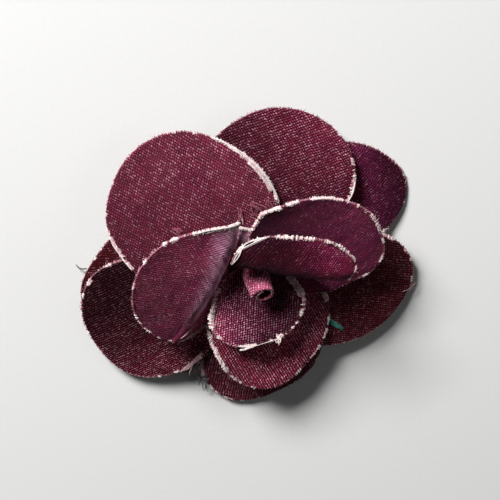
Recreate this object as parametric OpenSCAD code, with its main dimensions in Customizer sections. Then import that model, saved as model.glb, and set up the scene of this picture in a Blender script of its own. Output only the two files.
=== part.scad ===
// Flower brooch of denim: twelve cut petals in layers round a rolled bud, on a backing disc with a pin.
// Millimetres. It lies on its back on the surface z = 0, and the flower's axis is +Z.

/* [Placing] */
// Where the flower's axis stands in x, so that the whole brooch is centred on the origin
flower_axis_x = -1.02; // [-1.3:0.01:-0.7]
// Where the flower's axis stands in y
flower_axis_y = 2.04; // [1.8:0.01:2.3]

/* [Cloth] */
// Thickness of every petal
petal_thickness = 1.0; // [1:0.02:1.06]
// Length over which a petal bends up from its flat foot, as a share of the petal's length
foot_bend = 0.18; // [0.12:0.02:0.24]
// Length over which a petal turns over its fold, as a share of the petal's length
fold_turn = 0.3; // [0.24:0.02:0.36]

/* [Backing disc] */
// Diameter of the disc that carries the petals
disc_diameter = 30; // [22:1:31]
// Thickness of the disc
disc_thickness = 1.8; // [1.2:0.1:1.9]
// Height of the disc's face above the surface
disc_face_height = 5.65; // [5.5:0.05:5.7]

/* [Brooch pin] */
// Length of the pin's back bar
bar_length = 26; // [20:1:28]
// Width of the back bar
bar_width = 5; // [4:0.5:6]
// Thickness of the back bar
bar_thickness = 0.8; // [0.6:0.1:0.9]
// Gap between the back bar and the disc
bar_gap = 0.2; // [0.15:0.05:0.3]
// Length of the post at each end, along the bar
post_length = 2.6; // [2:0.2:3.4]
// Diameter of the needle
needle_diameter = 0.9; // [0.8:0.1:1.2]
// Height of the needle's centre line above the surface
needle_height = 1.2; // [1:0.1:1.4]

/* [Rolled bud] */
// Outer radius of the roll at its foot
bud_foot_radius = 3.9; // [3.4:0.1:4.1]
// Outer radius of the roll at its tip
bud_tip_radius = 3.5; // [3.2:0.1:3.7]
// Length of the roll along its bent centre line
bud_length = 8.6; // [7:0.2:9]
// How far the tip leans over, in degrees
bud_lean = 30; // [15:1:32]
// Direction in which the tip leans, in degrees from +X
bud_lean_azimuth = 286; // [278:1:302]
// Thickness of the rolled cloth
bud_cloth = 1.0; // [0.9:0.02:1.04]
// Turns of cloth in the roll
bud_turns = 1.25; // [1.15:0.05:1.4]
// Gap between two turns of the roll
bud_turn_gap = 0.25; // [0.2:0.05:0.3]
// Where the outer end of the cloth lies, in degrees from +X
bud_end_azimuth = 185; // [150:5:220]
// Where the centre line starts, from the flower's axis and the surface
bud_root = [0.8, -0.2, 16.4]; // [x, y and z in millimetres]

/* [Petals] */
// Columns of the table of the cut petals. Angles are degrees, sizes are millimetres, and shares are parts
// of the petal's length.
// azimuth: direction in which the petal points. sway: how far it turns aside up to its tip.
// root_x, root_y, root_z: middle of the root's edge, from the flower's axis and the surface.
// roll: how far the petal is turned about its own length. length, width: size of the cut cloth.
// narrow: how much narrower the root is than a round end, as a share.
// corner: how far the outline stands out of a round one, as a share, or in where it is below 0.
// corner_way: where on the outline that is, from 0 at the petal's left side to 90 at its tip.
PETAL_COLUMNS = ["petal", "azimuth", "sway", "root_x", "root_y", "root_z", "roll", "length", "width",
    "narrow", "corner", "corner_way"]; // fixed names
// One row for each petal, from the lowest layer to the highest
PETALS = [
    ["petal_left",        193, 0,  -2.1, -1.8, 6.6,  0,   43.5, 41.5, 0.32, -0.13, 135],
    ["petal_right_upper", 28,  0,  -0.1, 0.2,  6.6,  0,   48.5, 36,   0.38, -0.11, 69],
    ["petal_bottom",      273, 0,  2,    -1.6, 8.1,  0,   46.5, 38,   0.32, -0.15, 75],
    ["petal_right_lower", 339, 0,  0.9,  -0.7, 9.5,  0,   45,   39,   0.38, 0.12,  64],
    ["petal_left_lower",  214, 0,  -3.3, 1.3,  9.5,  0,   45.5, 42.5, 0.48, 0.12,  49],
    ["petal_top",         78,  0,  3.5,  3,    10.9, 0,   37,   46.5, 0.5,  0.11,  90],
    ["petal_top_left",    137, 0,  3.5,  -2,   12.5, 0,   49.5, 42,   0.01, -0.08, 76],
    ["petal_mid_front",   290, 0,  -1,   0,    10.9, -8,  35,   33,   0,    0.15,  111],
    ["petal_mid_left",    179, 10, -7,   -0.2, 14.4, -21, 31.5, 41,   0,    -0.15, 0],
    ["petal_mid_right",   27,  0,  0.6,  0.4,  13.8, 17,  34.5, 32,   0,    0.19,  152],
    ["petal_inner_front", 274, -6, 0.3,  2.1,  15.2, -7,  21,   26,   0.03, 0.21,  129],
    ["petal_inner_right", 82,  -9, 8.2,  2,    15.6, -1,  26,   37.5, 0.45, -0.12, 144],
]; // [lengths 20 to 50, widths 25 to 48, each angle within 1 degree of what stands here]

/* [Folds] */
// Columns of the table of the petals' folds. side runs from -1 at a petal's right side to 1 at its left.
// slant: how much further out the fold lies at the left side. foot: share that lies flat.
// rise: slope between foot and fold. flare: how much steeper it is at the left side.
// ridge: share at which the fold lies. bow: how much further out it lies at both sides.
// fall: slope beyond the fold. foot_cup, tip_cup: how far each side curls up before and after the fold.
FOLD_COLUMNS = ["fold", "slant", "foot", "rise", "flare", "ridge", "bow", "fall", "foot_cup",
    "tip_cup"]; // fixed names
// One row for each petal, in the same order
FOLDS = [
    ["petal_left",        0,     0.2,  2,  0,   0.5,  0,     -17, -4, -14],
    ["petal_right_upper", 0,     0.2,  2,  0,   0.5,  0,     -16, -4, -14],
    ["petal_bottom",      0,     0.2,  2,  0,   0.5,  0,     -18, -5, -16],
    ["petal_right_lower", 0,     0.2,  2,  0,   0.5,  0,     -17, -1, -8],
    ["petal_left_lower",  0,     0.2,  3,  0,   0.5,  0,     -17, -1, -8],
    ["petal_top",         0,     0.2,  3,  0,   0.5,  0,     -15, -2, -10],
    ["petal_top_left",    0,     0.2,  5,  0,   0.5,  0,     -12, 1,  -4],
    ["petal_mid_front",   -0.1,  0.15, 14, 0,   0.5,  0,     -8,  4,  0],
    ["petal_mid_left",    0.17,  0.05, 79, -26, 0.37, 0.06,  -10, 0,  2],
    ["petal_mid_right",   -0.01, 0.28, 39, -2,  0.4,  0,     13,  15, 0],
    ["petal_inner_front", 0.03,  0.3,  14, 0,   0.6,  0,     30,  35, 10],
    ["petal_inner_right", 0.09,  0,    81, 5,   0.6,  -0.09, -5,  14, -5],
]; // [each share within 0.01 and each angle within 1 degree of what stands here]

/* [Hidden] */

disc_colour = "#3a1220";
pin_colour = "#b9bcc2";
bud_colour = "#6b2b3d";
petal_colour = "#66263b";

// Grid of each petal: cells across it and cells along it
cells_across = 11;
cells_along = 14;
// Steps in which the way from the root to a point is added up
way_steps = 24;
// Small step for measuring a slope
tiny = 0.004;

// Puts a piece that is built round the flower's axis in its place
module on_axis() {
    translate([flower_axis_x, flower_axis_y, 0])
        union()
            children();
}

// Both rows of each petal, joined
ROWS = [for (k = [0:len(PETALS) - 1]) concat(PETALS[k], FOLDS[k])];

function column(name) = search([name], concat(PETAL_COLUMNS, FOLD_COLUMNS), 1, 0)[0];
AZIMUTH = column("azimuth");
SWAY = column("sway");
SLANT = column("slant");
ROOT_X = column("root_x");
ROOT_Y = column("root_y");
ROOT_Z = column("root_z");
LENGTH = column("length");
WIDTH = column("width");
NARROW = column("narrow");
FOOT = column("foot");
RISE = column("rise");
FLARE = column("flare");
RIDGE = column("ridge");
BOW = column("bow");
FALL = column("fall");
FOOT_CUP = column("foot_cup");
TIP_CUP = column("tip_cup");
ROLL = column("roll");
CORNER = column("corner");
CORNER_WAY = column("corner_way");

// 0 before from, 1 after to, and a smooth step between
function ease(s, from, to) =
    let (t = min(1, max(0, (s - from) / (to - from))))
    t * t * (3 - 2 * t);

// Share at which the fold of petal p lies, where side runs from -1 to 1 across it
function fold_at(p, side) = p[RIDGE] + p[SLANT] * side + p[BOW] * side * side;

// Slope of petal p at the share s of its length
function slope(p, s, side) =
    let (
        foot = p[FOOT] + p[SLANT] * side,
        fold = fold_at(p, side),
        rise = p[RISE] + p[FLARE] * side
    )
    rise * ease(s, foot - foot_bend / 2, foot + foot_bend / 2)
    + (p[FALL] - rise) * ease(s, fold - fold_turn / 2, fold + fold_turn / 2);

// Direction along petal p at the share s
function heading(p, s, side) =
    let (climb = slope(p, s, side), turn = p[AZIMUTH] + p[SWAY] * s)
    [cos(climb) * cos(turn), cos(climb) * sin(turn), sin(climb)];

// Point of the petal's middle way at the share s
function way(p, s, side) =
    [p[ROOT_X], p[ROOT_Y], p[ROOT_Z]]
    + s * p[LENGTH] / way_steps
    * ([for (k = [1:way_steps]) 1] * [for (k = [1:way_steps]) heading(p, s * (k - 0.5) / way_steps, side)]);

// Half the width of petal p at the share s
function half_width(p, s) = p[WIDTH] / 2 * (1 - p[NARROW] * pow(max(0, 1 - s), 1.5));

// Point of the petal's middle face, at the share s and at side, -1 to 1 across
function face_point(p, s, side) =
    let (
        ahead = heading(p, s, side),
        turn = p[AZIMUTH] + p[SWAY] * s,
        left = [-sin(turn), cos(turn), 0],
        up = cross(ahead, left),
        tilt = p[ROLL] * ease(s, 0, 0.6),
        rolled_left = left * cos(tilt) + up * sin(tilt),
        rolled_up = up * cos(tilt) - left * sin(tilt),
        fold = fold_at(p, side),
        cup = p[FOOT_CUP] + (p[TIP_CUP] - p[FOOT_CUP]) * ease(s, fold - 0.25, fold + 0.25),
        safe_cup = abs(cup) < 0.01 ? 0.01 : cup,
        cup_radius = p[WIDTH] / 2 / (safe_cup * PI / 180),
        angle = safe_cup * side * half_width(p, s) / (p[WIDTH] / 2)
    )
    way(p, s, side) + rolled_left * cup_radius * sin(angle) + rolled_up * cup_radius * (1 - cos(angle));

function unit(v) = v / norm(v);

// Upward normal of the petal's middle face
function face_normal(p, s, side) =
    unit(cross(face_point(p, s + tiny, side) - face_point(p, s - tiny, side),
        face_point(p, s, side + tiny) - face_point(p, s, side - tiny)));

// How many times further out than on a round petal the place x across and y along lies
function swell(p, x, y) =
    1 + p[CORNER] * pow(max(0, cos(atan2(y, x) - p[CORNER_WAY])), 6) * (x * x + y * y);

// Place on the petal over a square grid, with a across and b along it, both -1 to 1: its share and side
function grid_place(p, a, b) =
    let (
        x = a * sqrt(1 - b * b / 2),
        y = b * sqrt(1 - a * a / 2),
        out = swell(p, x, y)
    )
    [(1 + y * out) / 2, x * out];

// Closed solid between two faces of points with the same rows and columns. The front face lies on the
// side to which the cross product of the way along the rows and the way along the columns points.
module sheet_solid(front, back, rows, columns) {
    count = rows * columns;
    function at(i, j) = i * columns + j;
    // The rim in the order in which it is walked
    rim = concat(
        [for (j = [0:columns - 2]) at(0, j)],
        [for (i = [0:rows - 2]) at(i, columns - 1)],
        [for (j = [columns - 1:-1:1]) at(rows - 1, j)],
        [for (i = [rows - 1:-1:1]) at(i, 0)]
    );
    rim_count = len(rim);
    polyhedron(
        points = concat(front, back),
        faces = concat(
            [for (i = [0:rows - 2], j = [0:columns - 2]) [at(i, j), at(i + 1, j + 1), at(i + 1, j)]],
            [for (i = [0:rows - 2], j = [0:columns - 2]) [at(i, j), at(i, j + 1), at(i + 1, j + 1)]],
            [for (i = [0:rows - 2], j = [0:columns - 2])
                [count + at(i, j), count + at(i + 1, j), count + at(i + 1, j + 1)]],
            [for (i = [0:rows - 2], j = [0:columns - 2])
                [count + at(i, j), count + at(i + 1, j + 1), count + at(i, j + 1)]],
            [for (k = [0:rim_count - 1]) [rim[k], count + rim[k], rim[(k + 1) % rim_count]]],
            [for (k = [0:rim_count - 1])
                [rim[(k + 1) % rim_count], count + rim[k], count + rim[(k + 1) % rim_count]]]
        )
    );
}

// One petal: a rounded piece of cloth that rises from its foot and turns over its fold
module petal(p) {
    grid = [for (i = [0:cells_along], j = [0:cells_across])
        grid_place(p, 2 * j / cells_across - 1, 2 * i / cells_along - 1)];
    middle = [for (g = grid) face_point(p, g[0], g[1])];
    normal = [for (g = grid) face_normal(p, g[0], g[1]) * petal_thickness / 2];
    color(petal_colour)
        on_axis()
            sheet_solid(middle + normal, middle - normal, cells_along + 1, cells_across + 1);
}

// Plain disc of the same cloth at the hidden back
module backing_disc() {
    color(disc_colour)
        on_axis()
            translate([0, 0, disc_face_height - disc_thickness])
                cylinder(h = disc_thickness, d = disc_diameter, $fn = 96);
}

// Plain pin at the back: a flat bar, a post at each end and the needle between them, in one piece
module brooch_pin() {
    bar_top = disc_face_height - disc_thickness - bar_gap;
    color(pin_colour)
        on_axis() {
            translate([-bar_length / 2, -bar_width / 2, bar_top - bar_thickness])
                cube([bar_length, bar_width, bar_thickness]);
            for (end = [-1, 1])
                translate([end * (bar_length - post_length) / 2 - post_length / 2, -bar_width / 2, 0])
                    cube([post_length, bar_width, bar_top - bar_thickness / 2]);
            translate([-(bar_length - post_length) / 2, 0, needle_height])
                rotate([0, 90, 0])
                    cylinder(h = bar_length - post_length, d = needle_diameter, $fn = 32);
        }
}

// Rows of the roll from foot to tip, and the steps of cloth round it
bud_rows = 6;
bud_steps = 32;

// Centre of the roll at the share h of its length, along an arc that leans over
function bud_centre(h) =
    let (lean = bud_lean * h, arc_radius = bud_length / (bud_lean * PI / 180))
    bud_root + arc_radius * [
        (1 - cos(lean)) * cos(bud_lean_azimuth),
        (1 - cos(lean)) * sin(bud_lean_azimuth),
        sin(lean)];

// Point of the roll: share h of its length, share w of the cloth's way round, and distance off its middle
function bud_point(h, w, off) =
    let (
        outer = bud_foot_radius + (bud_tip_radius - bud_foot_radius) * h - bud_cloth / 2,
        radius = outer - (bud_cloth + bud_turn_gap) * bud_turns * w + off,
        angle = bud_end_azimuth - 360 * bud_turns * w,
        lean = bud_lean * h,
        lean_way = [cos(lean) * cos(bud_lean_azimuth), cos(lean) * sin(bud_lean_azimuth), -sin(lean)],
        side_way = [-sin(bud_lean_azimuth), cos(bud_lean_azimuth), 0],
        from_lean = angle - bud_lean_azimuth
    )
    bud_centre(h) + radius * (cos(from_lean) * lean_way + sin(from_lean) * side_way);

// The rolled strip of cloth at the centre
module bud() {
    grid = [for (i = [0:bud_rows - 1], j = [0:bud_steps]) [i / (bud_rows - 1), j / bud_steps]];
    outside = [for (g = grid) bud_point(g[0], g[1], bud_cloth / 2)];
    inside = [for (g = grid) bud_point(g[0], g[1], -bud_cloth / 2)];
    color(bud_colour)
        on_axis()
            sheet_solid(outside, inside, bud_rows, bud_steps + 1);
}

backing_disc();
brooch_pin();
for (row = ROWS) petal(row);
bud();
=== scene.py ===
"""Looks of a denim flower brooch: cut cloth petals with raw white edges, a rolled bud and a pin back."""
import math

import bmesh
import bpy
import numpy as np
from mathutils import Matrix, Vector


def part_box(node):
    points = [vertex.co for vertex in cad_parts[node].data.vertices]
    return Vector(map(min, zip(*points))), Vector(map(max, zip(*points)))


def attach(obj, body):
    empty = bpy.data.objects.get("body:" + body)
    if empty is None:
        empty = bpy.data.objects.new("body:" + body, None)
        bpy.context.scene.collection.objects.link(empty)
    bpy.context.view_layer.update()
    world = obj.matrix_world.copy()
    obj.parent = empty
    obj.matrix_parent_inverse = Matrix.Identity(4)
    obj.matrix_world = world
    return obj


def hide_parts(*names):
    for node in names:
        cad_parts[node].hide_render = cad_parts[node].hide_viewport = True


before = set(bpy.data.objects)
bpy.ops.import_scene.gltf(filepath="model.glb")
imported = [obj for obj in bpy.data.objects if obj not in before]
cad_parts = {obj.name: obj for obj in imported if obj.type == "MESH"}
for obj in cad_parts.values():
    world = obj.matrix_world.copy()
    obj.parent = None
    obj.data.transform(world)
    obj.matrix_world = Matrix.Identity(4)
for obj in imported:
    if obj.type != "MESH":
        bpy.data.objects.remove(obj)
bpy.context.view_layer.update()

MM = 0.001
AXIS = np.array([-1.02, 2.04, 0.0])  # where the flower's axis stands, in mm, as in the part

# ---------------- camera
AIM = AXIS + [0, 0, 11]  # point that the camera is set up from, in mm
RAISED = 3.9  # mm that the camera is moved up from there, so that the flower sits a little low in the picture
TILT, TILT_AZIMUTH = math.radians(26), math.radians(108)  # of the view from straight above, and its way
DISTANCE = 420.0  # mm from the aim point to the camera
VIEW_WIDTH = 130.0  # mm across the picture at the aim point
SENSOR = 36.0  # mm


def make_camera():
    """Camera at the photograph's angle."""
    aside = math.sin(TILT)
    back = np.array([aside * math.cos(TILT_AZIMUTH), aside * math.sin(TILT_AZIMUTH), math.cos(TILT)])
    up = np.array([0, 1, 0]) - back * back[1]
    up /= np.linalg.norm(up)
    right = np.cross(up, back)
    data = bpy.data.cameras.new("camera")
    data.sensor_width = SENSOR
    data.lens = SENSOR * DISTANCE / VIEW_WIDTH
    data.clip_start, data.clip_end = 0.01, 10
    camera = bpy.data.objects.new("camera", data)
    bpy.context.scene.collection.objects.link(camera)
    place = (AIM + up * RAISED + back * DISTANCE) * MM
    camera.matrix_world = Matrix([*zip(right, up, back, place), (0, 0, 0, 1)])
    bpy.context.scene.camera = camera


make_camera()

# ---------------- petals: the part's own tables
# Place and cut of each petal, in degrees and mm. sway: turn of its way from foot to tip. roll: about its own
# length. narrow: how much less wide its foot is. corner, corner_way: share by which it reaches further out at
# one place of its rim, and where.
CUT_COLUMNS = "name azimuth sway root_x root_y root_z roll length width narrow corner corner_way".split()
CUTS = [
    ("petal_left", 193, 0, -2.1, -1.8, 6.6, 0, 43.5, 41.5, 0.32, -0.13, 135),
    ("petal_right_upper", 28, 0, -0.1, 0.2, 6.6, 0, 48.5, 36, 0.38, -0.11, 69),
    ("petal_bottom", 273, 0, 2, -1.6, 8.1, 0, 46.5, 38, 0.32, -0.15, 75),
    ("petal_right_lower", 339, 0, 0.9, -0.7, 9.5, 0, 45, 39, 0.38, 0.12, 64),
    ("petal_left_lower", 214, 0, -3.3, 1.3, 9.5, 0, 45.5, 42.5, 0.48, 0.12, 49),
    ("petal_top", 78, 0, 3.5, 3, 10.9, 0, 37, 46.5, 0.5, 0.11, 90),
    ("petal_top_left", 137, 0, 3.5, -2, 12.5, 0, 49.5, 42, 0.01, -0.08, 76),
    ("petal_mid_front", 290, 0, -1, 0, 10.9, -8, 35, 33, 0, 0.15, 111),
    ("petal_mid_left", 179, 10, -7, -0.2, 14.4, -21, 31.5, 41, 0, -0.15, 0),
    ("petal_mid_right", 27, 0, 0.6, 0.4, 13.8, 17, 34.5, 32, 0, 0.19, 152),
    ("petal_inner_front", 274, -6, 0.3, 2.1, 15.2, -7, 21, 26, 0.03, 0.21, 129),
    ("petal_inner_right", 82, -9, 8.2, 2, 15.6, -1, 26, 37.5, 0.45, -0.12, 144),
]
# Folds of each petal, in degrees and shares of its length. foot, ridge: where it turns up and where it folds
# over. rise, fall: its climb before and after the fold. flare: how much the rise differs across it. slant,
# bow: of the fold's line across it. foot_cup, tip_cup: how far it is cupped before and after the fold.
FOLD_COLUMNS = "name slant foot rise flare ridge bow fall foot_cup tip_cup".split()
FOLDS = [
    ("petal_left", 0, 0.2, 2, 0, 0.5, 0, -17, -4, -14),
    ("petal_right_upper", 0, 0.2, 2, 0, 0.5, 0, -16, -4, -14),
    ("petal_bottom", 0, 0.2, 2, 0, 0.5, 0, -18, -5, -16),
    ("petal_right_lower", 0, 0.2, 2, 0, 0.5, 0, -17, -1, -8),
    ("petal_left_lower", 0, 0.2, 3, 0, 0.5, 0, -17, -1, -8),
    ("petal_top", 0, 0.2, 3, 0, 0.5, 0, -15, -2, -10),
    ("petal_top_left", 0, 0.2, 5, 0, 0.5, 0, -12, 1, -4),
    ("petal_mid_front", -0.1, 0.15, 14, 0, 0.5, 0, -8, 4, 0),
    ("petal_mid_left", 0.17, 0.05, 79, -26, 0.37, 0.06, -10, 0, 2),
    ("petal_mid_right", -0.01, 0.28, 39, -2, 0.4, 0, 13, 15, 0),
    ("petal_inner_front", 0.03, 0.3, 14, 0, 0.6, 0, 30, 35, 10),
    ("petal_inner_right", 0.09, 0, 81, 5, 0.6, -0.09, -5, 14, -5),
]
PETALS = {cut_row[0]: {**dict(zip(CUT_COLUMNS, cut_row)), **dict(zip(FOLD_COLUMNS, fold_row))}
          for cut_row, fold_row in zip(CUTS, FOLDS)}
FOOT_BEND, FOLD_TURN = 0.18, 0.3  # shares of the length over which a petal turns up and folds
ROLL_END, CUP_TURN = 0.6, 0.5  # shares of it over which a petal rolls, and changes its cup about the fold
WAY_STEPS, TINY = 24, 0.004  # steps in which its middle line is followed, and step of its normals

# How each petal looks. grain: way of the weave's lines from the petal's own length, in degrees. tone, blue:
# how bright its cloth is and how much blue is in it; the tone is partly the dyed cloth's own and partly
# painted light and shade. haze: share of pale wear all over it. speck: how bright its undyed specks are.
# hairs: how many fine fibres stand out of its edge. held, rests_on: how it was laid and what carries it.
LOOK_COLUMNS = "grain tone blue haze speck hairs held rests_on".split()
LOOKS = {name: dict(zip(LOOK_COLUMNS, row)) for name, *row in [
    ("petal_left", -10, 0.45, 0.55, 0.00, 0.6, 0.5, "laid", "backing_disc"),
    ("petal_right_upper", -32, 0.46, 1.75, 0.02, 0.5, 0.6, "laid", "backing_disc"),
    ("petal_bottom", -7, 0.75, 0.90, 0.00, 1.0, 1.0, "laid", "petal_left"),
    ("petal_right_lower", -20, 0.68, 0.64, 0.00, 0.85, 1.0, "laid", "petal_bottom"),
    ("petal_left_lower", -14, 0.37, 0.90, 0.00, 0.92, 0.5, "laid", "petal_bottom"),
    ("petal_top", 46, 0.68, 1.20, 0.01, 0.78, 0.25, "laid", "petal_right_lower"),
    ("petal_top_left", -29, 0.96, 1.03, 0.04, 0.68, 0.2, "laid", "petal_top"),
    ("petal_mid_front", -23, 1.52, 0.98, 0.00, 1.1, 0.4, "laid", "petal_left_lower"),
    ("petal_mid_left", -22, 1.10, 1.25, 0.04, 0.6, 0.3, "folded", "petal_top_left"),
    ("petal_mid_right", -42, 0.95, 1.75, 0.03, 0.45, 0.4, "folded", "petal_top"),
    ("petal_inner_front", -10, 0.72, 1.50, 0.02, 1.35, 0.3, "gathered", "petal_mid_front"),
    ("petal_inner_right", 8, 0.72, 1.40, 0.00, 0.5, 0.4, "folded", "petal_mid_right"),
]}

# Painted light and shade on each petal, in doublings of its brightness: all over, by the place across
# (-1 right to 1 left) and along (-1 foot to 1 tip), and by the square across, their product and the square
# along.
SHADES = {
    "petal_left": (-0.49, -0.22, -0.09, 0.10, -0.04, -0.05),
    "petal_right_upper": (1.97, 0.76, -2.03, 0.24, 0.09, -0.87),
    "petal_bottom": (-0.59, -0.37, 0.07, 0.62, 0.28, 0.39),
    "petal_right_lower": (-0.16, -0.90, 0.29, -0.79, -0.35, 0.12),
    "petal_left_lower": (-1.38, 2.51, 0.73, 0.54, 0.20, 0.08),
    "petal_top": (-0.59, -0.78, 0.71, -0.79, -0.67, 0.29),
    "petal_top_left": (-0.26, -0.54, -0.07, -0.13, 0.36, 0.11),
    "petal_mid_front": (0.92, 0.20, -0.00, -1.98, -0.68, -0.57),
    "petal_mid_left": (0.15, -0.39, -1.19, -0.31, 0.23, 0.68),
    "petal_mid_right": (-0.11, -0.83, 0.83, -0.53, 1.40, -0.41),
    "petal_inner_front": (-0.76, -1.62, -0.15, 1.05, -0.80, -0.14),
    "petal_inner_right": (-1.35, -3.68, 1.12, -0.37, -0.63, 0.19),
}
PAINTED_SHADING_LIMITS = (-1.9, 0.9)  # least and greatest of those doublings

# Where undyed thread shows along a petal's cut edge, from start to end in degrees round it: 0 is the
# petal's left side, 90 its tip, 180 its right side. white: share of the edge that is white there. wide: how
# far in from the edge the white reaches, in mm. laid: how many strands lie along the edge, if any.
FRAY_COLUMNS = "start end white wide laid".split()
FRAYS = {name: [dict(zip(FRAY_COLUMNS, row)) for row in rows] for name, rows in {
    "petal_top_left": [
        (153, 166, 0.8, 0.5, 1.0), (163, 178, 1.0, 0.8, 2.6), (178, 206, 1.0, 1.1, 4.6),
        (204, 214, 0.9, 0.7, 2.0), (6, 32, 0.9, 0.8, 0.8), (32, 48, 0.4, 0.5), (100, 150, 0.2, 0.4)],
    "petal_top": [(121, 144, 0.3, 0.45), (144, 165, 0.5, 0.6), (165, 185, 0.9, 0.7, 1.0)],
    "petal_right_upper": [(150, 157, 1.0, 0.9)],
    "petal_right_lower": [(15, 35, 0.9, 0.6), (35, 90, 0.25, 0.45), (90, 165, 0.12, 0.45)],
    "petal_bottom": [(112, 140, 0.4, 0.5), (145, 175, 0.75, 1.0), (20, 112, 0.2, 0.45)],
    "petal_left_lower": [
        (137, 152, 0.5, 0.75, 0.2), (152, 180, 0.35, 0.5), (0, 20, 0.6, 0.6, 0.4), (20, 43, 0.3, 0.45)],
    "petal_left": [(95, 180, 0.2, 0.45)],
    "petal_mid_left": [
        (159, 166, 1.0, 1.0), (166, 181, 0.25, 0.5), (181, 200, 0.85, 0.8, 1.2), (200, 216, 1.0, 0.9, 1.8),
        (110, 157, 0.1, 0.42, 0.2), (44, 82, 0.42, 0.42), (20, 44, 0.4, 0.42), (82, 110, 0.1, 0.4),
        (-48, -12, 0.8, 0.6, 0.7)],
    "petal_mid_right": [
        (-48, 0, 0.6, 0.75, 0.2), (0, 12, 0.5, 0.55), (16, 50, 0.5, 0.45), (54, 110, 0.6, 0.55),
        (110, 165, 0.45, 0.45)],
    "petal_inner_right": [
        (22, 56, 0.55, 0.5, 1.3), (56, 66, 0.4, 0.45), (66, 126, 0.66, 0.6), (126, 190, 0.5, 0.45)],
    "petal_inner_front": [
        (-66, -45, 0.8, 0.8), (-45, -5, 1.0, 1.6), (-5, 25, 0.8, 0.7), (30, 50, 0.5, 0.5),
        (58, 68, 1.0, 1.0), (68, 92, 0.4, 0.45, 0.5), (92, 112, 0.6, 0.6, 1.5), (112, 145, 0.3, 0.45),
        (145, 216, 0.85, 0.9, 0.4)],
    "petal_mid_front": [
        (-17, 6, 0.8, 1.1), (20, 87, 0.5, 0.45), (117, 155, 0.35, 0.45), (155, 184, 0.95, 0.9, 0.6),
        (184, 207, 0.65, 0.7)],
}.items()}
LEAST_WHITE, LEAST_WIDE = 0.07, 0.35  # white and wide everywhere else
FRAY_FADE = 1.5  # degrees on both sides of a start or end over which it sets in

WHITE, PALE_PINK, PINK, DYED, DARK, TEAL, CRIMSON = range(7)  # kinds of thread, in the order of THREADS

# Loose threads and tufts, each row a bundle from one place on a petal to another, as shares of the petal's
# length and sides. strands: how many. radius, spread, bow: of a strand, of the bundle's ends and of its bend,
# in mm.
LOOSE_COLUMNS = "petal share side to_share to_side thread strands radius spread bow".split()
LOOSE = [dict(zip(LOOSE_COLUMNS, row)) for row in [
    ("petal_inner_right", 0.82, 0.80, 0.54, 1.00, WHITE, 2, 0.19, 0.35, 0.5),
    ("petal_inner_right", 0.94, 0.52, 0.66, 0.97, WHITE, 2, 0.15, 0.35, 0.4),
    ("petal_top_left", 0.34, -0.59, 0.25, -0.58, CRIMSON, 5, 0.17, 2.0, 0.5),
    ("petal_top_left", 0.28, -0.76, 0.21, -0.72, CRIMSON, 4, 0.15, 1.8, 0.5),
    ("petal_top_left", 0.37, -0.48, 0.30, -0.30, CRIMSON, 5, 0.15, 0.8, 0.4),
    ("petal_top_left", 0.36, -0.43, 0.29, -0.32, PALE_PINK, 2, 0.12, 0.5, 0.4),
    ("petal_top_left", 0.56, 0.27, 0.50, 0.22, CRIMSON, 5, 0.16, 1.3, 0.4),
    ("petal_bottom", 0.62, -0.98, 0.73, -1.13, DARK, 3, 0.12, 0.9, 0.5),
    ("petal_bottom", 0.64, -0.95, 0.82, -0.90, DARK, 4, 0.12, 0.9, 0.6),
    ("petal_bottom", 0.71, -0.84, 0.87, -0.79, DARK, 4, 0.11, 1.0, 0.5),
    ("petal_bottom", 0.58, -0.90, 0.74, -0.92, PALE_PINK, 9, 0.13, 1.5, 0.5),
    ("petal_left_lower", 0.50, 0.97, 0.60, 0.99, PALE_PINK, 3, 0.12, 0.5, 0.4),
    ("petal_left_lower", 0.58, 0.95, 0.68, 1.07, PALE_PINK, 6, 0.12, 1.8, 0.5),
    ("petal_left", 0.91, -0.41, 0.97, -0.48, DARK, 1, 0.18, 0.0, 0.6),
    ("petal_right_lower", 0.54, -0.50, 0.70, -0.63, TEAL, 5, 0.26, 0.6, 0.4),
    ("petal_right_lower", 1.00, 0.10, 1.08, 0.26, PALE_PINK, 2, 0.05, 1.2, 0.4),
    ("petal_inner_front", 0.93, 0.44, 1.02, 0.36, WHITE, 6, 0.13, 0.8, 0.3),
    ("petal_inner_front", 1.05, -0.10, 1.09, -0.42, WHITE, 3, 0.17, 0.25, 0.1),
    ("petal_mid_left", 0.30, 0.62, 0.40, 0.78, PALE_PINK, 2, 0.12, 0.4, 0.6),
]]
FLAP = ((0.31, -0.29), (0.20, -0.37), (0.17, -0.18), (0.23, -0.04))  # its corners, as share and side

CLOTH = 0.8  # thickness of the visible cloth, inside the solid's 1 mm
CREASES = ((0.07, 7, 15), (0.05, 3, 6))  # height of slight creases, and the least and greatest length, in mm
CURL = 0.30  # mm by which a free rim curls
ACROSS, ALONG = 64, 76  # cells of each petal's mesh
LINE_PITCH, ROW_PITCH, SKEW = 0.70, 0.60, 0.26  # the weave: mm between lines, between rows, and their slant
BIT_PITCH = 0.46  # mm between two bits of thread in a white edge
STRAND_PITCH = 0.30  # mm between two strands laid along a white edge
HAIRS_PER_MM = 1.4  # fine hairs along the edge of a petal whose hairs is 1
FOLD_PAINTED_LIGHT = 1.1  # painted light: how much brighter a fold is made on the side that turns from the light
FOLD_WEAR_AND_LIGHT = {"petal_mid_left": 1.0}  # petals whose fold is rubbed pale and given a painted highlight, and how much
# Seeds of the random draws. The petal's number is added to all but the last three.
SEEDS = dict(petal=0, creases=(0, 40), curl=80, white=300, fringe=500, slant=600, wide=650, strands=700,
             sway=900, loose=77, flap=78, bud=7)


def ease(s, low, high):
    """0 at low, 1 at high, smooth between; low may be the greater of the two."""
    t = np.clip((s - low) / (high - low), 0, 1)
    return t * t * (3 - 2 * t)


def unit(ways, least=0.0):
    """Ways with length 1; least keeps a way without length from a division by zero."""
    return ways / (np.linalg.norm(ways, axis=-1, keepdims=True) + least)


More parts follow.
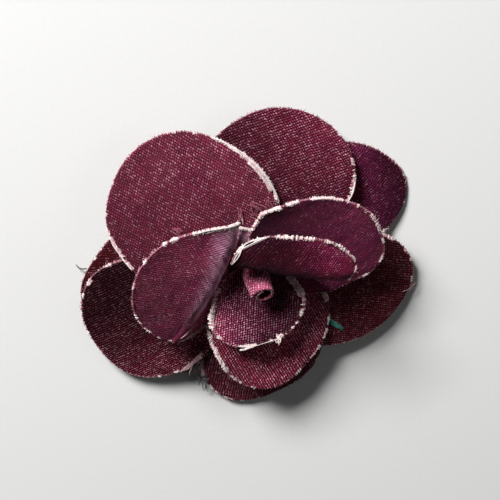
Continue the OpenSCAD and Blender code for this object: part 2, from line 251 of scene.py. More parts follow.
def surface(p, share, side):
    """Points of the petal's middle face, in mm, at shares of its length and -1 right to 1 left across it."""
    share, side = np.broadcast_arrays(np.asarray(share, float), np.asarray(side, float))
    foot, fold, rise = p["foot"] + p["slant"] * side, fold_at(p, side), p["rise"] + p["flare"] * side

    def slope(s):
        return np.radians(rise * ease(s, foot - FOOT_BEND / 2, foot + FOOT_BEND / 2)
                          + (p["fall"] - rise) * ease(s, fold - FOLD_TURN / 2, fold + FOLD_TURN / 2))

    def heading(s):
        climb, turn = slope(s), np.radians(p["azimuth"] + p["sway"] * s)
        return np.stack([np.cos(climb) * np.cos(turn), np.cos(climb) * np.sin(turn), np.sin(climb)], -1)

    way = sum(heading(share * (k + 0.5) / WAY_STEPS) for k in range(WAY_STEPS))
    way = way * (share * p["length"] / WAY_STEPS)[..., None]
    ahead = heading(share)
    turn = np.radians(p["azimuth"] + p["sway"] * share)
    left = np.stack([-np.sin(turn), np.cos(turn), 0 * turn], -1)
    up = np.cross(ahead, left)
    tilt = np.radians(p["roll"] * ease(share, 0, ROLL_END))[..., None]
    rolled_left = left * np.cos(tilt) + up * np.sin(tilt)
    rolled_up = up * np.cos(tilt) - left * np.sin(tilt)
    over = ease(share, fold - CUP_TURN / 2, fold + CUP_TURN / 2)
    cup = p["foot_cup"] + (p["tip_cup"] - p["foot_cup"]) * over
    cup = np.radians(np.where(np.abs(cup) < 0.01, 0.01, cup))
    radius = p["width"] / 2 / cup
    angle = cup * side * half_width(p, share) / (p["width"] / 2)
    root = np.array([p["root_x"], p["root_y"], p["root_z"]])
    return (AXIS + root + way + rolled_left * (radius * np.sin(angle))[..., None]
            + rolled_up * (radius * (1 - np.cos(angle)))[..., None])


def fold_at(p, side):
    """Share of the length at which the fold lies."""
    return p["ridge"] + p["slant"] * side + p["bow"] * side * side


def swell(p, x, y):
    """How many times further out than on a round petal the place x across and y along lies."""
    angle = np.arctan2(y, x)
    corner = np.maximum(0, np.cos(angle - math.radians(p["corner_way"]))) ** 6
    uneven = 1 + 0.007 * np.sin(3 * angle + p["azimuth"]) + 0.005 * np.sin(7 * angle + 2 * p["azimuth"])
    return uneven * (1 + p["corner"] * corner * (x * x + y * y))


def half_width(p, share):
    """Half the cut's width, in mm."""
    return p["width"] / 2 * (1 - p["narrow"] * np.maximum(0, 1 - share) ** 1.5)


def normal_at(p, share, side):
    """Way out of the petal's front face."""
    return unit(np.cross(surface(p, share + TINY, side) - surface(p, share - TINY, side),
                         surface(p, share, side + TINY) - surface(p, share, side - TINY)))


def waves(seed, x, y, low, high, count=6):
    """Smooth random height, about -1 to 1, over flat places x, y in mm, with waves low to high mm long."""
    rng = np.random.default_rng(seed)
    total = 0
    for _ in range(count):
        way, length, phase = rng.uniform(0, math.pi), rng.uniform(low, high), rng.uniform(0, 2 * math.pi)
        total = total + np.sin(2 * math.pi * (x * math.cos(way) + y * math.sin(way)) / length + phase)
    return total / math.sqrt(count)


def ripples(seed, along, low, high, count):
    """The same waves along a line."""
    return waves(seed, along, 0 * along, low, high, count)


def weave_place(x, y, grain, skew=0.0):
    """Place in the weave, counted in lines and rows, of a place on the flat cloth in mm."""
    turn = math.radians(grain)
    u, v = x * math.cos(turn) + y * math.sin(turn), y * math.cos(turn) - x * math.sin(turn)
    return np.stack([u / LINE_PITCH + skew * v / ROW_PITCH, v / ROW_PITCH], -1)


def cut(p, angle):
    """Rim of the cut petal: share and side at an angle, 0 at the left side and pi / 2 at the tip."""
    x, y = np.cos(angle), np.sin(angle)
    out = swell(p, x, y)
    return (1 + out * y) / 2, out * x


def fray_at(p, angle, column, least):
    """A column of the table of frays at places round the rim."""
    degrees = (np.degrees(angle) + 90) % 360 - 90
    value = np.full(np.shape(angle), least)
    for span in FRAYS[p["name"]]:
        inside = ease(degrees, span["start"] - FRAY_FADE, span["start"] + FRAY_FADE)
        inside = inside * ease(degrees, span["end"] + FRAY_FADE, span["end"] - FRAY_FADE)
        value = np.maximum(value, span.get(column, 0) * inside)
    return value


def white_here(p, angle, number):
    """0 to 1: whether the edge is white at these places, in dashes a few mm long."""
    along = angle * (p["width"] + p["length"]) / 4
    patch = 0.5 + 0.42 * ripples(SEEDS["white"] + number, along, 1.6, 7, 7)
    return ease(fray_at(p, angle, "white", LEAST_WHITE) * 1.25 - patch, 0.0, 0.2)


# ---------------- meshes
def make_piece(name, points, faces, materials, face_slots=None, weave=None, attributes={}):
    """A mesh from points in mm. weave and attributes have a value for each point."""
    mesh = bpy.data.meshes.new(name)
    mesh.from_pydata((np.asarray(points, float) * MM).tolist(), [], faces)
    for m in materials:
        mesh.materials.append(m)
    if face_slots is not None:
        mesh.polygons.foreach_set("material_index", np.asarray(face_slots, np.int32))
    if weave is not None:
        corner_points = np.zeros(len(mesh.loops), np.int32)
        mesh.loops.foreach_get("vertex_index", corner_points)
        layer = mesh.uv_layers.new(name="weave")
        layer.data.foreach_set("uv", np.asarray(weave, np.float32)[corner_points].ravel())
    for label, values in attributes.items():
        mesh.attributes.new(label, "FLOAT", "POINT").data.foreach_set("value", np.asarray(values, np.float32))
    mesh.polygons.foreach_set("use_smooth", np.ones(len(mesh.polygons), bool))
    mesh.validate()
    mesh.update()
    piece = bpy.data.objects.new(name, mesh)
    bpy.context.scene.collection.objects.link(piece)
    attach(piece, "root")
    return piece


def tube(points, radii, sides=5):
    """Closed tube along points, with a radius at each. Returns its points and faces."""
    points = np.asarray(points, float)
    count = len(points)
    ways = unit(np.gradient(points, axis=0), 1e-12)
    aside = np.cross(ways[0], [0.31, 0.17, 0.94] if abs(ways[0][2]) < 0.9 else [1, 0, 0])
    rings = []
    for k in range(count):
        aside = aside - ways[k] * (aside @ ways[k])
        aside /= np.linalg.norm(aside) + 1e-12
        other = np.cross(ways[k], aside)
        turns = np.arange(sides) * 2 * math.pi / sides
        rings.append(points[k] + radii[k] * (np.outer(np.cos(turns), aside) + np.outer(np.sin(turns), other)))
    faces = [[k + j, k + (j + 1) % sides, k + sides + (j + 1) % sides, k + sides + j]
             for k in range(0, (count - 1) * sides, sides) for j in range(sides)]
    faces += [list(range(sides))[::-1], list(range((count - 1) * sides, count * sides))]
    return np.concatenate(rings), faces


class Threads:
    """Gathers many tubes, each with a material, into one mesh."""

    def __init__(self):
        self.points, self.faces, self.slots, self.count = [], [], [], 0

    def add(self, path, radii, slot, sides=5):
        points, faces = tube(path, radii, sides)
        self.points.append(points)
        self.faces += [[i + self.count for i in f] for f in faces]
        self.slots += [slot] * len(faces)
        self.count += len(points)

    def make(self, name):
        return make_piece(name, np.concatenate(self.points), self.faces, THREADS, self.slots)


# ---------------- materials
class Tree:
    """Short ways to write a material's nodes."""

    def __init__(self, name, roughness, **values):
        self.material = bpy.data.materials.new(name)
        self.material.use_nodes = True
        self.nodes, self.links = self.material.node_tree.nodes, self.material.node_tree.links
        self.shader = next(n for n in self.nodes if n.type == "BSDF_PRINCIPLED")
        self.shader.inputs["Roughness"].default_value = roughness
        for key, value in values.items():
            self.shader.inputs[key.replace("_", " ")].default_value = value

    def put(self, socket, value):
        if isinstance(value, bpy.types.NodeSocket):
            self.links.new(value, socket)
        else:
            socket.default_value = value

    def node(self, kind, inputs={}, **settings):
        """Outputs of a new node, with its inputs given by number or name."""
        n = self.nodes.new("ShaderNode" + kind)
        for key, value in settings.items():
            setattr(n, key, value)
        for key, value in inputs.items() if isinstance(inputs, dict) else enumerate(inputs):
            self.put(n.inputs[key], value)
        return n.outputs

    def math(self, operation, a, b=0.5, c=0.5, clamp=False):
        return self.node("Math", (a, b, c), operation=operation, use_clamp=clamp)[0]

    def mul(self, a, b, clamp=False):
        return self.math("MULTIPLY", a, b, clamp=clamp)

    def add(self, a, b):
        return self.math("ADD", a, b)

    def sub(self, a, b):
        return self.math("SUBTRACT", a, b)

    def step(self, value, low, high, to_low=0.0, to_high=1.0):
        return self.node("MapRange", (value, low, high, to_low, to_high), interpolation_type="SMOOTHSTEP")[0]

    def mix(self, share, a, b):
        return self.node("Mix", {0: share, 6: a, 7: b}, data_type="RGBA")[2]

    def scale(self, colour, factor):
        return self.node("VectorMath", {0: colour, "Scale": factor}, operation="SCALE")[0]

    def noise(self, vector, scale, detail=2.0):
        return self.node("TexNoise", {"Vector": vector, "Scale": scale, "Detail": detail})[0]

    def white(self, vector):
        return self.node("TexWhiteNoise", {"Vector": vector}, noise_dimensions="2D")[0]

    def place(self):
        """The point's place in the row frame, in metres."""
        return self.node("NewGeometry")["Position"]

    def uv(self, label):
        return self.node("UVMap", uv_map=label)[0]

    def split(self, vector):
        return self.node("SeparateXYZ", (vector,))

    def join(self, x, y, z=0.0):
        return self.node("CombineXYZ", (x, y, z))[0]

    def attribute(self, label):
        return self.node("Attribute", attribute_name=label)["Fac"]

    def bump(self, height, strength, distance, below=None):
        inputs = {"Strength": strength, "Distance": distance, "Height": height}
        return self.node("Bump", inputs if below is None else {**inputs, "Normal": below})[0]

    def done(self, colour, normal=None):
        self.put(self.shader.inputs["Base Color"], colour)
        if normal is not None:
            self.put(self.shader.inputs["Normal"], normal)
        return self.material


def rgb(r, g, b):
    """Colour with full cover."""
    return (r, g, b, 1.0)


DEEP, DYE, WARM = rgb(0.022, 0.0012, 0.0045), rgb(0.155, 0.0085, 0.033), rgb(0.180, 0.0085, 0.022)
SPECK = rgb(0.54, 0.155, 0.23)
PALE_SPECK = rgb(0.68, 0.34, 0.41)
WORN = rgb(0.36, 0.16, 0.27)
# colour of a fold rubbed pale, with a painted highlight
FOLD_WEAR_AND_HIGHLIGHT = rgb(0.80, 0.47, 0.66)
RAW = rgb(0.72, 0.60, 0.58)


def dyed(colour, blue, tone=1.0):
    """A dye of its own brightness and share of blue."""
    return rgb(colour[0] * tone, colour[1] * tone, colour[2] * tone * blue)


def denim(name, tone=1.0, blue=1.0, speck=1.0, back=False, worn=0.0, haze=0.0):
    """Burgundy cloth in a coarse weave, with pale specks where the undyed thread shows."""
    gloss = 0.06 * min(1.0, tone)
    t = Tree(name, 0.85, Sheen_Weight=gloss, Sheen_Roughness=0.5, Sheen_Tint=rgb(0.9, 0.4, 0.65),
             Specular_IOR_Level=gloss)
    a, b, _ = t.split(t.uv("weave"))
    # every thread wanders a little, and each stitch of it a little more
    flat = t.join(a, b)
    wander = t.mul(t.sub(t.noise(flat, 0.21, 3.0), 0.5), 1.3)
    shake = t.mul(t.sub(t.noise(flat, 0.8, 1.0), 0.5), 0.8)
    a = t.add(t.add(a, wander), shake)
    b = t.sub(t.sub(b, wander), shake)
    line, row = t.math("FLOOR", a), t.math("FLOOR", b)
    luck = t.white(t.join(line, row))
    thread_luck = t.add(t.mul(t.white(t.join(line, 0.37)), 0.6), t.mul(t.white(t.join(0.61, row)), 0.4))
    da, db = t.sub(t.math("FRACT", a), 0.5), t.sub(t.math("FRACT", b), 0.5)  # from the stitch's middle
    far = t.math("SQRT", t.add(t.mul(t.mul(da, da), 1.3), t.mul(t.mul(db, db), 0.8)))
    even = min(1.0, max(0.0, (speck - 0.5) / 0.5))  # strong specks are also small and even
    size = t.math("MULTIPLY_ADD", luck, 0.18 - 0.09 * even, 0.27 + 0.02 * speck)
    dot = t.step(far, size, t.mul(size, 0.5))
    # dyed threads with a dark gap between each two
    gap = t.step(t.math("ABSOLUTE", da), 0.26, 0.5)
    row_gap = t.step(t.math("ABSOLUTE", db), 0.30, 0.5)
    cloud = t.noise(t.place(), 130.0, 4.0)
    mottle = t.noise(t.place(), 520.0)
    slub = t.noise(t.join(a, t.mul(b, 0.09)), 1.0)
    colour = t.mix(t.step(cloud, 0.32, 0.68), dyed(DYE, blue), dyed(WARM, blue))
    for share in (t.step(slub, 0.30, 0.75, 0.0, 0.35), t.step(mottle, 0.30, 0.70, 0.0, 0.40),
                  t.mul(thread_luck, 0.30), t.mul(gap, 0.60 + 0.15 * even),
                  t.mul(row_gap, 0.40 + 0.30 * even)):
        colour = t.mix(share, colour, DEEP)
    if haze:
        colour = t.mix(t.mul(t.step(cloud, 0.3, 0.7, 0.5, 1.5), haze), colour, WORN)
    # wear and painted highlight along a fold: paler, in ribs
    if worn:
        rib = t.step(t.noise(t.join(t.mul(a, 0.10), t.mul(b, 0.7)), 1.0), 0.35, 0.65, 0.35, 1.0)
        fade = t.mul(t.mul(t.attribute("worn"), rib), worn, clamp=True)
        fade = t.mul(fade, t.sub(1.0, t.mul(gap, 0.75)))  # the gaps stay dark
        colour = t.mix(fade, colour, FOLD_WEAR_AND_HIGHLIGHT)
    # specks: all a little, some a lot, and in drifts
    drift = t.step(t.noise(t.place(), 210.0, 3.0), 0.35, 0.70, 0.55, 1.20)
    bright = t.add(t.math("MULTIPLY_ADD", t.math("POWER", luck, 2.0), 0.45 * (1 - even), 0.28 * (1 - even)),
                   t.math("MULTIPLY_ADD", luck, 0.45 * even, 0.45 * even))
    share = t.mul(t.mul(dot, bright), t.mul(drift, speck), clamp=True)
    speck_tone = (0.40 + 0.60 * tone) / tone  # undyed thread darkens less than the dye
    speck_colour = t.mix(t.step(luck, 0.80 - 0.6 * even, 1.0), dyed(SPECK, blue ** 0.5, speck_tone),
                         dyed(PALE_SPECK, 1.0, speck_tone))
    colour = t.mix(share, colour, speck_colour)
    if back:  # the wrong side shows more of the undyed thread
        bare = t.mul(t.step(t.math("ABSOLUTE", db), 0.42, 0.20), t.math("MULTIPLY_ADD", luck, 0.25, 0.08))
        colour = t.mix(bare, colour, PALE_SPECK)
    # painted light and shade: brightness from the petal's SHADES, the fold's painted light and the bud's
    # painted shade, times the tone
    colour = t.scale(colour, t.mul(t.attribute("faded"), tone))
    # undyed thread along the raw rim
    fuzz = t.noise(t.place(), 2400.0)
    raw = t.step(t.add(t.attribute("raw"), t.mul(t.sub(fuzz, 0.5), 1.3)), 0.42, 0.75)
    colour = t.mix(raw, colour, t.mix(luck, rgb(0.45, 0.20, 0.25), RAW))
    height = t.add(t.mul(t.sub(1.0, gap), 0.6), t.mul(t.sub(1.0, row_gap), 0.4))
    height = t.add(height, t.mul(dot, 0.35))
    soft = t.bump(t.noise(t.place(), 420.0, 3.0), 0.35, 0.0004)
    return t.done(colour, t.bump(height, 0.85, 0.00016, soft))


def raw_edge(name, tone=1.0, blue=1.0):
    """The cut edge: white thread ends with some dyed ones between."""
    t = Tree(name, 0.9, Sheen_Weight=0.1)
    along, depth, _ = t.split(t.uv("weave"))
    luck = t.white(t.join(t.math("FLOOR", t.mul(along, 1.4)), t.math("FLOOR", t.mul(depth, 1.4))))
    white = t.step(t.add(t.attribute("raw"), t.mul(t.sub(luck, 0.5), 0.9)), 0.22, 0.42)
    fuzz = t.noise(t.place(), 2600.0, 3.0)
    pale = t.mix(fuzz, rgb(0.62, 0.40, 0.42), RAW)
    colour = t.mix(white, dyed(DYE, blue, tone), pale)
    return t.done(colour, t.bump(fuzz, 0.8, 0.0002))


def thread(name, light, dark):
    """Spun thread: two shades in fine fibres."""
    t = Tree(name, 0.85, Sheen_Weight=0.25)
    fibre = t.noise(t.place(), 3200.0, 3.0)
    return t.done(t.mix(t.step(fibre, 0.35, 0.65), dark, light), t.bump(fibre, 0.6, 0.0001))


def steel(name):
    """Plain nickel-coloured pin wire and bar, with fine scratches along it."""
    t = Tree(name, 0.34, Metallic=1.0)
    x, y, z = t.split(t.place())
    scratch = t.noise(t.join(t.mul(x, 60.0), t.mul(y, 2600.0), t.mul(z, 2600.0)), 1.0, 3.0)
    stain = t.noise(t.place(), 300.0, 4.0)
    colour = t.mix(t.step(scratch, 0.3, 0.7), rgb(0.50, 0.50, 0.49), rgb(0.68, 0.68, 0.69))
    colour = t.mix(t.step(stain, 0.55, 0.8, 0.0, 0.5), colour, rgb(0.36, 0.33, 0.29))
    t.put(t.shader.inputs["Roughness"], t.step(stain, 0.3, 0.8, 0.26, 0.5))
    return t.done(colour, t.bump(scratch, 0.25, 0.00005))


THREADS = [thread(name + "_thread", rgb(*light), rgb(*dark)) for name, light, dark in (
    ("white", (0.74, 0.67, 0.63), (0.46, 0.36, 0.36)),
    ("pale_pink", (0.68, 0.45, 0.45), (0.42, 0.20, 0.22)),
    ("pink", (0.48, 0.16, 0.21), (0.20, 0.025, 0.05)),
    ("dyed", (0.17, 0.015, 0.035), (0.06, 0.005, 0.012)),
    ("dark", (0.05, 0.02, 0.028), (0.012, 0.005, 0.009)),
    ("teal", (0.02, 0.37, 0.30), (0.002, 0.10, 0.085)),
    ("crimson", (0.26, 0.038, 0.075), (0.11, 0.009, 0.024)),
)]


# ---------------- petals
def close_up(count):
    """Steps from -1 to 1 that grow closer towards both ends."""
    v = np.linspace(-1, 1, count)
    return 0.62 * v + 0.38 * np.sin(v * math.pi / 2)


def rim_walk(rows, columns):
    """Rim points of a sheet, in order round it."""
    index = np.arange(rows * columns).reshape(rows, columns)
    return np.concatenate([index[0, :-1], index[:-1, -1], index[-1, :0:-1], index[:0:-1, 0]])


def make_cloth(name, front, back, edge, materials, slots, weave, edge_weave, **attributes):
    """A sheet from the points of its front, its back and the middle of its edge. slots and each attribute
    have an entry for each of the three: its material's number, and its values or one value."""
    rows, columns = front.shape[:2]
    count, rim = rows * columns, rim_walk(rows, columns)
    index = np.arange(count).reshape(rows, columns)
    cells = np.stack([index[:-1, :-1], index[1:, :-1], index[1:, 1:], index[:-1, 1:]], -1).reshape(-1, 4)
    rings = rim, 2 * count + np.arange(len(rim)), rim + count  # round the front, the edge and the back
    strips = [np.stack([a, np.roll(a, -1), np.roll(b, -1), b], -1) for a, b in zip(rings, rings[1:])]
    faces = np.concatenate([cells, cells[:, [0, 3, 2, 1]] + count, *strips])
    if np.cross(front[1, 0] - front[0, 0], front[0, 1] - front[0, 0]) @ (front - back)[0, 0] < 0:
        faces = faces[:, ::-1]
    weave = weave.reshape(-1, 2)
    values = {label: np.concatenate([np.broadcast_to(np.ravel(v), n)
                                     for v, n in zip(of_each, (count, count, len(rim)))])
              for label, of_each in attributes.items()}
    points = np.concatenate([front.reshape(-1, 3), back.reshape(-1, 3), edge])
    face_slots = np.repeat(slots, (len(cells), len(cells), 2 * len(rim)))
    weave = np.concatenate([weave, weave, edge_weave])
    return make_piece(name, points, faces.tolist(), materials, face_slots, weave, values)


def build_petal(p, number):
    """One petal: its cloth with slight creases and curls, its wrong side, its raw edge and its fringe."""
    look = LOOKS[p["name"]]
    b, a = np.meshgrid(close_up(ALONG + 1), close_up(ACROSS + 1), indexing="ij")
    x, y = a * np.sqrt(1 - b * b / 2), b * np.sqrt(1 - a * a / 2)
    reach, angle = np.hypot(x, y), np.arctan2(y, x)
    out = swell(p, x, y)
    share, side = (1 + y * out) / 2, x * out
    flat = side * half_width(p, share), share * p["length"]  # place on the flat cut cloth, in mm
    free = ease(share, 0.35, 0.9)
    crease = sum(height * waves(seed + number, *flat, low, high)
                 for seed, (height, low, high) in zip(SEEDS["creases"], CREASES))
    bend = crease + CURL * free * reach ** 6 * ripples(SEEDS["curl"] + number, angle * 9, 9, 20, 4)
    normal = normal_at(p, share, side)
    middle = surface(p, share, side) + normal * bend[..., None]
    half = CLOTH / 2 * (1 - 0.25 * reach ** 20)  # thinner at the very edge
    rim = rim_walk(*x.shape)
    rim_middle = middle.reshape(-1, 3)[rim]
    inner = surface(p, (1 + y * out * 0.97) / 2, x * out * 0.97).reshape(-1, 3)[rim]
    outward = unit(rim_middle - inner - normal.reshape(-1, 3)[rim] * bend.ravel()[rim][:, None])
    rng = np.random.default_rng(SEEDS["petal"] + number)
    edge = rim_middle + outward * rng.uniform(0.05, 0.22, (len(rim), 1))
    white = white_here(p, angle, number)
    wide = fray_at(p, angle, "wide", LEAST_WIDE)
    raw = white * ease((1 - reach) * (p["width"] + p["length"]) / 4, wide + 0.1, wide - 0.3)
    # painted light and shade, from the petal's row of SHADES
    doublings = sum(weight * part for weight, part in zip(SHADES[p["name"]], (1, x, y, x * x, x * y, y * y)))
    faded = 2 ** np.clip(doublings, *PAINTED_SHADING_LIMITS)
    beyond = fold_at(p, side) - share  # on the side of the fold that turns from the light
    worn = FOLD_WEAR_AND_LIGHT.get(p["name"], 0)
    # painted light: the fold's side that turns from the light is made brighter
    faded = faded * (1 + FOLD_PAINTED_LIGHT * worn * ease(beyond, 0.0, 0.14) * ease(beyond, 0.50, 0.28))
    # band along the fold that is rubbed pale and carries a painted highlight, on the side that turns from the
    # light
    fold = ease(np.abs(beyond - 0.10), 0.26, 0.02) * ease(side, 0.75, -0.3)
    ring = np.cumsum(np.r_[0, np.linalg.norm(np.diff(edge, axis=0), axis=1)])
    # the tone is partly painted light and shade
    dye_and_shading = look["tone"], look["blue"]
    piece = make_cloth(
        p["name"] + "_cloth", middle + normal * half[..., None], middle - normal * half[..., None], edge,
        [denim(p["name"] + "_denim", *dye_and_shading, look["speck"], worn=worn, haze=look["haze"]),
         denim(p["name"] + "_wrong_side", *dye_and_shading, look["speck"], back=True),
         raw_edge(p["name"] + "_raw_edge", *dye_and_shading)],
        (0, 1, 2), weave_place(*flat, look["grain"], SKEW), np.stack([ring / 0.5, 0 * ring], -1),
        raw=(raw, raw, white.ravel()[rim]), faded=(faded, faded, 1), worn=(fold, 0, 0))
    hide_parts(p["name"])
    fringe = build_fringe(p, number)


def rim_frame(p, angles):
    """Points of the rim's middle, and the ways outward, along the rim and out of the front face there."""
    share, side = cut(p, angles)
    base = surface(p, share, side)
    outward = unit(base - surface(p, 0.5 + (share - 0.5) * 0.96, side * 0.96))
    normal = normal_at(p, share, side)
    return base, outward, np.cross(normal, outward), normal


def build_fringe(p, number):
    """The cut edge: bits of undyed weft over it, strands along it, dyed bits between, fuzz and fine hairs."""
    rng = np.random.default_rng(SEEDS["fringe"] + number)
    fine = np.linspace(-math.pi * 0.48, math.pi * 1.48, 1200)
    rim = surface(p, *cut(p, fine))
    travel = np.r_[0, np.cumsum(np.linalg.norm(np.diff(rim, axis=0), axis=1))]
    spots = np.arange(0.2, travel[-1], BIT_PITCH)
    spots = spots + rng.uniform(-0.14, 0.14, len(spots))
    angles = np.interp(spots, travel, fine)
    white, wide = white_here(p, angles, number), fray_at(p, angles, "wide", LEAST_WIDE)
    wide = wide * (1 + 0.25 * ripples(SEEDS["wide"] + number, spots, 2, 9, 5))
    base, outward, along, normal = rim_frame(p, angles)
    slant = 0.45 * ripples(SEEDS["slant"] + number, spots, 25, 60, 3)  # the weft crosses the edge at a slant
    threads = Threads()

    def over_edge(k, lean, places, radii, slot):
        """A bit of thread over the edge, at places in mm outward and up from the middle of the cloth."""
        way = outward[k] + along[k] * lean
        threads.add([base[k] + way * out + normal[k] * up for out, up in places], radii, slot)

    for k in range(len(spots)):
        long, luck, fat = rng.uniform(0.4, 1.25), rng.uniform(), rng.uniform(0.7, 1.25)
        lean = slant[k] + rng.normal(0, 0.22)
        jut = 0.55 * fat - 0.30  # how far the bit stands out of the edge
        if white[k] > rng.uniform(0.2, 0.8) and rng.uniform() > 0.10 - 0.08 * (wide[k] > 0.75):
            deep, thick = wide[k] * long, (0.12 + 0.08 * min(1, wide[k])) * fat
            rise = rng.uniform(0.36, 0.50)
            over_edge(k, lean, ((-deep, 0.36), (-0.5 * deep, rise), (0.0, 0.32), (jut, 0.0), (0.0, -0.30),
                                (-0.35, -0.40)), thick * np.array([0.4, 1, 1.1, 1, 0.9, 0.4]),
                      WHITE if luck < 0.62 else PALE_PINK if luck < 0.92 else PINK)
        elif luck < 0.75:
            slot = DYED if luck < 0.42 else PINK if luck < 0.62 else PALE_PINK
            over_edge(k, lean, ((-0.4 * long, 0.36), (0.0, 0.28), (jut, 0.0), (0.0, -0.28)),
                      [0.06, 0.12, 0.13, 0.07], slot)
    # strands of undyed thread that run along the edge
    strands, places = fray_at(p, fine[::5], "laid", 0.0), travel[::5]
    rim_base, rim_out, _, rim_up = rim_frame(p, fine[::5])
    for s in range(int(math.ceil(strands.max()))):
        uneven = ripples(SEEDS["strands"] + 20 * number + s, places, 1.5, 6, 5)
        thick = 0.19 * ease(strands - s, 0.1, 0.9) * (1 + 0.22 * uneven)
        sway = 0.07 * ripples(SEEDS["sway"] + 20 * number + s, places, 2, 8, 4)
        path = rim_base - rim_out * (STRAND_PITCH * s - 0.05 + sway)[:, None]
        path = path + rim_up * (0.42 + 0.3 * thick)[:, None]
        run = []  # places where the strand is there, up to its next end
        for k in range(len(thick) + 1):
            if k < len(thick) and thick[k] > 0.03:
                run.append(k)
                continue
            if len(run) > 3:
                threads.add(path[run], thick[run], WHITE if s % 3 < 2 else PALE_PINK, 7)
            run = []
    # short fuzz on the white parts
    for k in range(len(spots)):
        if white[k] > 0.4:
            for _ in range(rng.poisson(1.2 + 1.8 * min(1, wide[k]))):
                out, turn = rng.uniform(-wide[k], 0.2), rng.uniform(0, 2 * math.pi)
                half = rng.uniform(0.2, 0.55) / 2
                way = outward[k] * math.cos(turn) + along[k] * math.sin(turn)
                at = base[k] + outward[k] * out + along[k] * rng.uniform(-0.25, 0.25) + normal[k] * 0.40
                path = [at - way * half, at + normal[k] * rng.uniform(0.08, 0.30), at + way * half]
                threads.add(path, [0.03, 0.06, 0.025], WHITE if rng.uniform() < 0.7 else PALE_PINK, 4)
    # fine hairs that stand out of it
    for _ in range(int(travel[-1] * HAIRS_PER_MM * LOOKS[p["name"]]["hairs"])):
        k = rng.integers(len(spots))
        long, lean = rng.uniform(0.3, 0.95), rng.normal(0, 0.6)
        lift, curl = rng.normal(0.1, 0.4), rng.normal(0, 0.5)
        way = outward[k] + along[k] * lean + normal[k] * lift
        start = base[k] + normal[k] * rng.uniform(-0.2, 0.3) - way * 0.1
        path = [start + way * long * f + along[k] * curl * f * f * long for f in (0, 0.35, 0.7, 1)]
        slot = WHITE if white[k] > 0.5 else PINK if rng.uniform() < 0.45 else DYED
        threads.add(path, [0.045, 0.04, 0.03, 0.015], slot, 4)
    return threads.make(p["name"] + "_fray")


def build_loose():
    """The loose threads and tufts, lying on the petals or hanging out of their edges."""
    rng = np.random.default_rng(SEEDS["loose"])
    threads = {}
    for row in LOOSE:
        p, radius, spread = PETALS[row["petal"]], row["radius"], row["spread"]

        def spot(f):
            """Place just above the cloth, f of the way along the bundle."""
            share, side = (row[key] + (row["to_" + key] - row[key]) * f for key in ("share", "side"))
            return surface(p, share, side) + normal_at(p, share, side) * (CLOTH / 2 + radius * 0.8)

        first, last = spot(0), spot(1)
        up = normal_at(p, row["share"], row["side"])
        aside, ahead = unit(np.cross(up, last - first)), unit(last - first)
        for _ in range(row["strands"]):
            start = first + (aside * rng.uniform(-0.5, 0.5) + ahead * rng.uniform(-0.2, 0.6)) * spread
            end = last + (aside * rng.uniform(-1, 1) + ahead * rng.uniform(-0.6, 0.3)) * spread
            bow, rise = row["bow"] * rng.uniform(-1, 1), row["bow"] * rng.uniform(0.1, 0.8)
            ripple, start_turn = rng.uniform(0.05, 0.22), rng.uniform(0, 6)
            path = []
            for f in np.linspace(0, 1, 11):
                bend = 4 * f * (1 - f)
                sideways = bow * bend + ripple * math.sin(start_turn + 7 * f) * min(1, 4 * f)
                line = start + (end - start) * f + spot(f) - (first + (last - first) * f)  # follows the cloth
                path.append(line + aside * sideways + up * rise * bend)
            radii = radius * rng.uniform(0.75, 1.15) * np.array([0.8] + [1] * 7 + [0.95, 0.8, 0.45])
            threads.setdefault(row["petal"], Threads()).add(path, radii, row["thread"], 6)
    for name, bundle in threads.items():
        bundle.make(name + "_loose_threads")


def build_flap():
    """Small raw end of the left middle petal's cloth, beside its fold, on the large petal at the top left."""
    p = PETALS["petal_top_left"]
    n = 16  # points each way
    v, u = np.meshgrid(np.linspace(0, 1, n), np.linspace(0, 1, n), indexing="ij")
    corners = np.array(FLAP)[:, :, None, None]
    share, side = (corners[0] * (1 - u) * (1 - v) + corners[1] * u * (1 - v) + corners[2] * u * v
                   + corners[3] * (1 - u) * v)
    lift = 1.05 + 0.9 * (1 - u) ** 2 + 0.18 * np.sin(9 * u + 3 * v)  # mm above the petal, in slight folds
    normal, half = normal_at(p, share, side), 0.30
    middle = surface(p, share, side) + normal * lift[..., None]
    rim = rim_walk(n, n)
    flat = middle.reshape(-1, 3)
    x, y = u * 8, v * 6  # its size, in mm
    weave = np.stack([(x + 0.5 * y) / LINE_PITCH, (y - 0.5 * x) / ROW_PITCH], -1)
    piece = make_cloth("flap_cloth", middle + normal * half, middle - normal * half,
                       flat[rim] + unit(flat[rim] - flat.mean(0)) * 0.1,
                       [denim("flap_denim", 0.9, 1.3, 0.6, worn=0.6), raw_edge("flap_raw_edge", 0.9)],
                       (0, 0, 1), weave, weave.reshape(-1, 2)[rim] * 1.3,
                       raw=(0, 0, 0.3), faded=(1, 1, 1), worn=(1, 0, 0))
    rng = np.random.default_rng(SEEDS["flap"])
    threads = Threads()
    for at in np.arange(0.02, 1.0, 0.05) * (n - 1):  # white along its far edge
        i = min(int(at), n - 2)
        base = middle[0, i] * (1 - (at - i)) + middle[0, i + 1] * (at - i)
        for _ in range(3):
            way = unit(middle[0, i] - middle[1, i]) + (middle[0, i + 1] - middle[0, i]) * rng.normal(0, 0.6)
            long, up = rng.uniform(0.3, 0.9), normal[0, i]
            path = [base - way * long + up * 0.36, base + up * rng.uniform(0.34, 0.5), base + way * 0.25,
                    base - up * 0.3]
            threads.add(path, [0.07, 0.15, 0.14, 0.06], WHITE if rng.uniform() < 0.6 else PALE_PINK)
    threads.make("flap_fray")


for i, petal in enumerate(PETALS.values()):
    build_petal(petal, i + 1)
build_loose()
build_flap()

# ---------------- bud
# The part's own sizes, in mm and degrees. foot, tip: its radius there. cloth, gap: thickness of the strip and
# gap between its turns. end: where its outer end lies. radius: about the mean one, for the weave.
BUD = dict(root=np.array([0.8, -0.2, 16.4]) + AXIS, foot=3.9, tip=3.5, length=8.6, lean=30, azimuth=286,
           cloth=1.0, turns=1.25, gap=0.25, end=185, radius=3.1)


